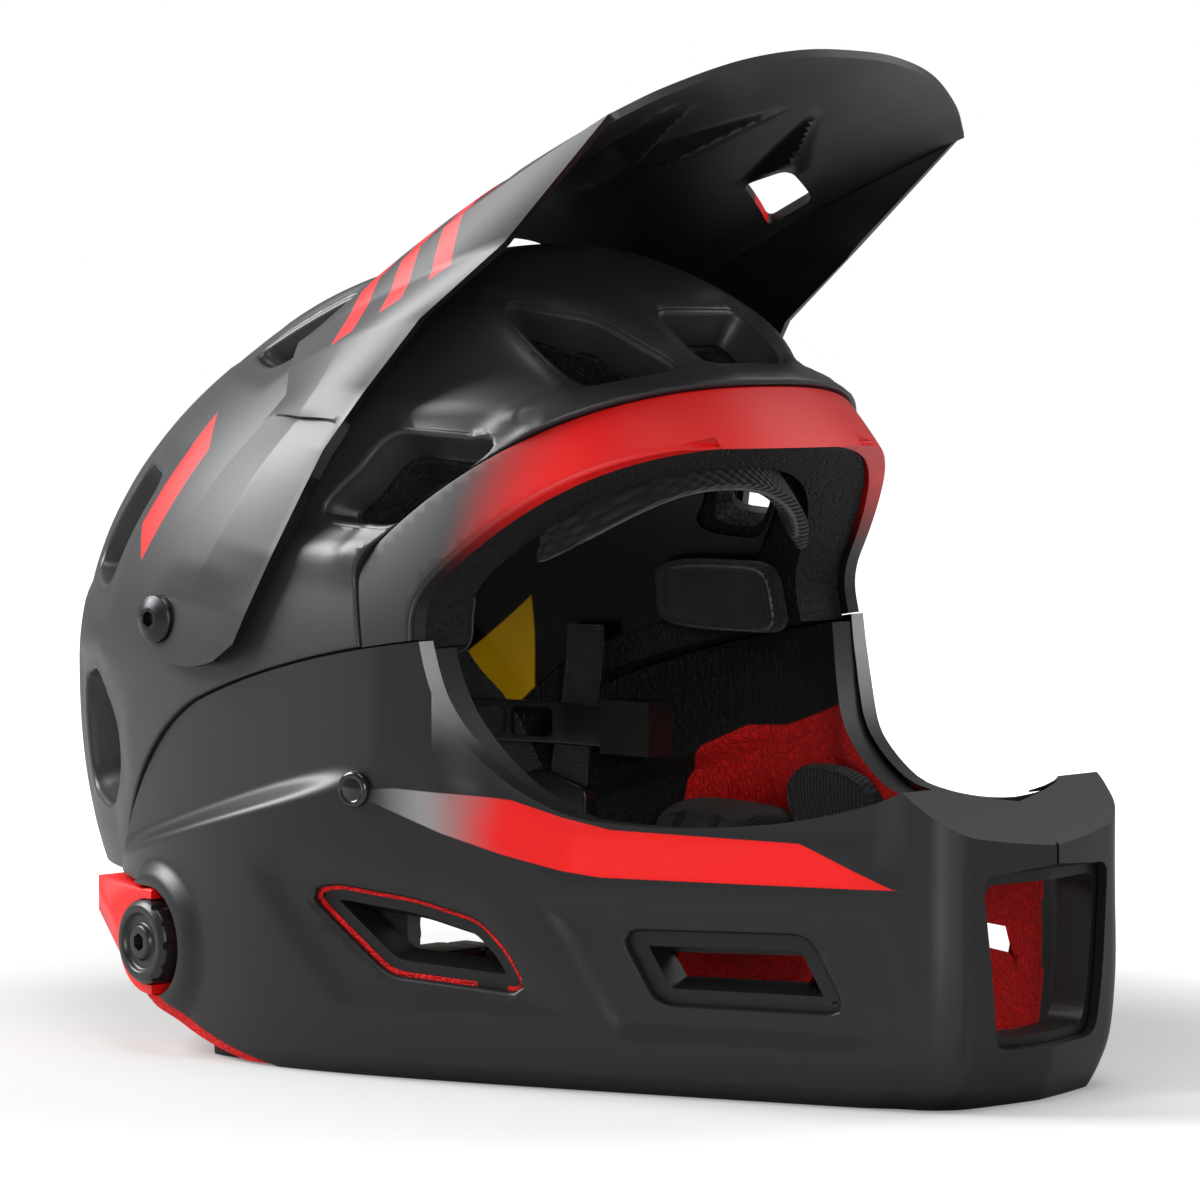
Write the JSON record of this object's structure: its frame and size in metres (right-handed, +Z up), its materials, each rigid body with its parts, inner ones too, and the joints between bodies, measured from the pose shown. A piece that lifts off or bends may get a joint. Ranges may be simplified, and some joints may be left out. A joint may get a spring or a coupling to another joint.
{
  "type": "full face bike helmet",
  "caption": "Full face bike helmet with a tilting visor, a chin bar that slides off, side release dials, a dial-worked fit band and a buckled chin strap.",
  "frame": {"origin": "on the floor below the middle of the head opening, where the wearer's head goes in; z = 0 is the flat base of the chin bar", "axes": "+Z up, -Y to the front of the face, +X to the wearer's left; X = 0 is the middle plane"},
  "size_m": [0.2396, 0.3813, 0.304],
  "materials": {
    "shell": "matte",
    "visor_plastic": "satin",
    "foam_black": "matte",
    "foam_red": "matte",
    "trim_red": "satin",
    "slip_yellow": "satin",
    "pad": "matte",
    "webbing": "matte",
    "black_plastic": "satin",
    "base_rubber": "matte",
    "insert_metal": "satin",
    "screw_metal": "satin"
  },
  "bodies": {
    "helmet": {"outer_shell": "shell", "foam_liner": "foam_black", "brow_trim": "trim_red", "slip_liner": "slip_yellow", "brow_pad": "pad", "crown_pads": "pad", "temple_pads": "pad", "visor_screw_left": "screw_metal", "visor_screw_right": "screw_metal", "visor_insert_left": "insert_metal", "visor_insert_right": "insert_metal", "release_collar_left": "trim_red", "release_collar_right": "trim_red", "fit_guides": "black_plastic", "strap_anchors": "black_plastic", "straps": "webbing", "strap_dividers": "black_plastic", "buckle_catch": "black_plastic"},
    "visor": {"visor": "visor_plastic", "visor_bush_left": "black_plastic", "visor_bush_right": "black_plastic"},
    "chin_bar": {"chin_bar_shell": "shell", "chin_bar_liner": "foam_red", "base_trim": "base_rubber", "cheek_pads": "pad", "mesh_pads": "pad", "bar_rivets": "black_plastic", "dial_bearing_left": "black_plastic", "dial_bearing_right": "black_plastic"},
    "dial_left": {"release_dial_left": "black_plastic"},
    "dial_right": {"release_dial_right": "black_plastic"},
    "fit_cradle": {"rear_cradle": "black_plastic", "nape_pad": "pad"},
    "fit_dial": {"fit_dial": "black_plastic"},
    "buckle_slide": {"buckle_tongue": "black_plastic", "strap_tail": "webbing"}
  },
  "joints": [
    {"name": "visor_tilt", "type": "hinge", "parent": "helmet", "child": "visor", "pos_m": [0, 0.03, 0.133], "axis": [-1, 0, 0], "range_deg": [0, 15]},
    {"name": "chin_bar_slide", "type": "slide", "parent": "helmet", "child": "chin_bar", "axis": [0, -1, 0], "range_m": [0, 0.06]},
    {"name": "dial_left_turn", "type": "hinge", "parent": "chin_bar", "child": "dial_left", "pos_m": [0.1113, 0.026, 0.034], "axis": [0.9903, 0.1392, 0], "range_deg": [0, 60], "stiffness_Nm_per_rad": 0.02},
    {"name": "dial_right_turn", "type": "hinge", "parent": "chin_bar", "child": "dial_right", "pos_m": [-0.1113, 0.026, 0.034], "axis": [-0.9903, 0.1392, 0], "range_deg": [0, 60], "stiffness_Nm_per_rad": 0.02},
    {"name": "fit_slide", "type": "slide", "parent": "helmet", "child": "fit_cradle", "axis": [0, -1, 0], "range_m": [0, 0.008]},
    {"name": "fit_dial_turn", "type": "hinge", "parent": "fit_cradle", "child": "fit_dial", "pos_m": [0, 0.0991, 0.066], "axis": [0, 1, 0], "range_deg": [0, 545]},
    {"name": "buckle_pull", "type": "slide", "parent": "helmet", "child": "buckle_slide", "axis": [1, 0, 0], "range_m": [0, 0.014]}
  ],
  "couplings": [
    {"joint": "fit_dial_turn", "follows": "fit_slide", "rad_per_m": 1178.1}
  ]
}
